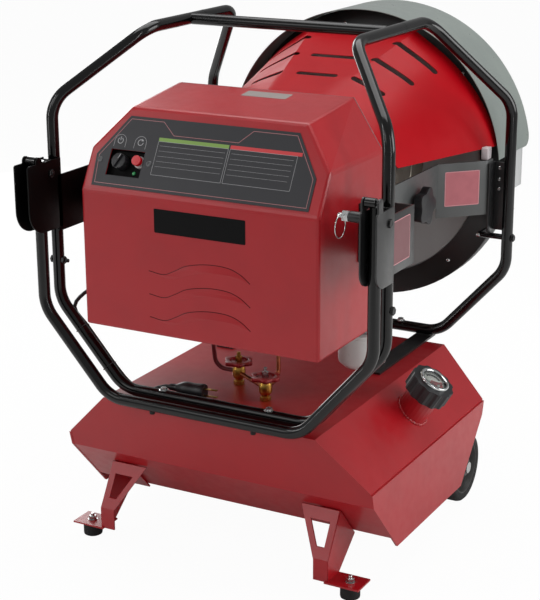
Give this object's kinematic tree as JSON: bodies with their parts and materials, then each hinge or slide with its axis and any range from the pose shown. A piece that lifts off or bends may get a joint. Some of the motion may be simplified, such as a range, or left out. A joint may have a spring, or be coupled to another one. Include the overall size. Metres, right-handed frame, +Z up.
{
  "type": "radiant heater",
  "caption": "Wheeled oil-fired radiant heater: round hooded reflector behind a control box in a tube frame on a fuel tank, with a fold-out pulling handle.",
  "frame": {"origin": "on the floor under the middle of the heater, the cord left out", "axes": "+Z up; +X to the right as seen from the control panel; +Y the way the heat is thrown"},
  "size_m": [0.6794, 0.827, 0.9291],
  "materials": {
    "red_paint": "gloss",
    "black_paint": "gloss",
    "grey_paint": "satin",
    "hood_paint": "satin",
    "zinc_steel": "satin",
    "heat_steel": "matt",
    "chrome_trim": "polished",
    "brass_fittings": "satin",
    "foot_rubber": "matt",
    "wheel_rubber": "matt",
    "black_plastic": "satin",
    "red_plastic": "gloss",
    "grey_plastic": "satin",
    "clear_lens": "clear",
    "white_paint": "gloss",
    "cord_jacket": "matt"
  },
  "bodies": {
    "heater": {"tank_shell": "red_paint", "filler_neck": "red_paint", "control_box": "red_paint", "box_rear_panel": "red_paint", "top_cover": "red_paint", "leg_left": "red_paint", "leg_right": "red_paint", "front_frame": "black_paint", "rear_frame": "black_paint", "crossbar": "black_paint", "base_rail_left": "black_paint", "base_rail_right": "black_paint", "reflector_rim": "black_paint", "side_bracket_left": "grey_paint", "side_bracket_right": "grey_paint", "support_panel_left": "grey_paint", "support_panel_right": "grey_paint", "reflector": "grey_paint", "burner_housing": "grey_paint", "blower_motor": "grey_paint", "visor_hood": "hood_paint", "axle": "zinc_steel", "plunger_body": "zinc_steel", "fuel_pump": "zinc_steel", "front_guard": "zinc_steel", "combustion_chamber": "heat_steel", "emitter_disc": "heat_steel", "fuel_line": "brass_fittings", "foot_left": "foot_rubber", "foot_right": "foot_rubber", "switch_panel": "black_plastic", "reset_collar": "black_plastic", "ignition_transformer": "black_plastic", "cord_gland": "black_plastic", "plug": "black_plastic", "control_board": "black_plastic", "overlay_plate": "grey_plastic", "filter_can": "white_paint", "cord_run": "cord_jacket"},
    "filler_cap": {"filler_cap": "black_plastic", "gauge_bezel": "chrome_trim", "gauge_lens": "clear_lens"},
    "gauge_needle": {"gauge_needle": "red_plastic"},
    "gauge_float": {"gauge_float": "black_plastic"},
    "wheel_left": {"wheel_left": "wheel_rubber"},
    "wheel_right": {"wheel_right": "wheel_rubber"},
    "fold_handle": {"fold_handle": "black_paint"},
    "plunger": {"plunger": "zinc_steel"},
    "pull_ring": {"pull_ring": "zinc_steel"},
    "switch_knob": {"switch_knob": "black_plastic"},
    "reset_button": {"reset_button": "red_plastic"},
    "blower_wheel": {"blower_wheel": "zinc_steel"},
    "clamp_knob": {"clamp_knob": "black_plastic"},
    "valve_handle_front": {"valve_handle_front": "red_plastic"},
    "valve_handle_rear": {"valve_handle_rear": "red_plastic"}
  },
  "joints": [
    {"name": "cap_turn", "type": "hinge", "parent": "heater", "child": "filler_cap", "pos_m": [0.29424, -0.0555, 0.30798], "axis": [0.5299, 0, 0.848], "continuous": true},
    {"name": "float_slide", "type": "slide", "parent": "filler_cap", "child": "gauge_float", "axis": [0.5299, 0, 0.848], "range_m": [-0.036, 0.036]},
    {"name": "needle_turn", "type": "hinge", "parent": "filler_cap", "child": "gauge_needle", "pos_m": [0.29424, -0.0555, 0.30798], "axis": [0.5299, 0, 0.848], "range_deg": [-135.5, 135.5]},
    {"name": "wheel_left_spin", "type": "hinge", "parent": "heater", "child": "wheel_left", "pos_m": [-0.269, 0.1355, 0.068], "axis": [1, 0, 0], "continuous": true},
    {"name": "wheel_right_spin", "type": "hinge", "parent": "heater", "child": "wheel_right", "pos_m": [0.269, 0.1355, 0.068], "axis": [1, 0, 0], "continuous": true},
    {"name": "handle_fold", "type": "hinge", "parent": "heater", "child": "fold_handle", "pos_m": [0, -0.3815, 0.707], "axis": [-1, 0, 0], "range_deg": [0, 135]},
    {"name": "plunger_pull", "type": "slide", "parent": "heater", "child": "plunger", "axis": [-1, 0, 0], "range_m": [0, 0.008], "stiffness_N_per_m": 400, "springref_m": -0.004},
    {"name": "ring_swing", "type": "hinge", "parent": "plunger", "child": "pull_ring", "pos_m": [0.25889, -0.3655, 0.677], "axis": [0, 1, 0], "range_deg": [0, 35]},
    {"name": "switch_turn", "type": "hinge", "parent": "heater", "child": "switch_knob", "pos_m": [-0.162, -0.346, 0.71545], "axis": [0, 0.8707, -0.4918], "range_deg": [0, 90]},
    {"name": "reset_press", "type": "slide", "parent": "heater", "child": "reset_button", "axis": [0, 0.8707, -0.4918], "range_m": [0, 0.004], "stiffness_N_per_m": 500, "springref_m": -0.002},
    {"name": "blower_spin", "type": "hinge", "parent": "heater", "child": "blower_wheel", "pos_m": [0, -0.2278, 0.6235], "axis": [0, 1, 0], "continuous": true},
    {"name": "clamp_turn", "type": "hinge", "parent": "heater", "child": "clamp_knob", "pos_m": [0.2168, 0.0325, 0.6], "axis": [1, 0, 0], "continuous": true},
    {"name": "valve_front_turn", "type": "hinge", "parent": "heater", "child": "valve_handle_front", "pos_m": [0.05, -0.2315, 0.3266], "axis": [0, 0, 1], "range_deg": [0, 90]},
    {"name": "valve_rear_turn", "type": "hinge", "parent": "heater", "child": "valve_handle_rear", "pos_m": [-0.032, -0.1815, 0.3266], "axis": [0, 0, 1], "range_deg": [0, 90]}
  ],
  "couplings": [
    {"joint": "needle_turn", "follows": "float_slide", "rad_per_m": 65.4}
  ]
}
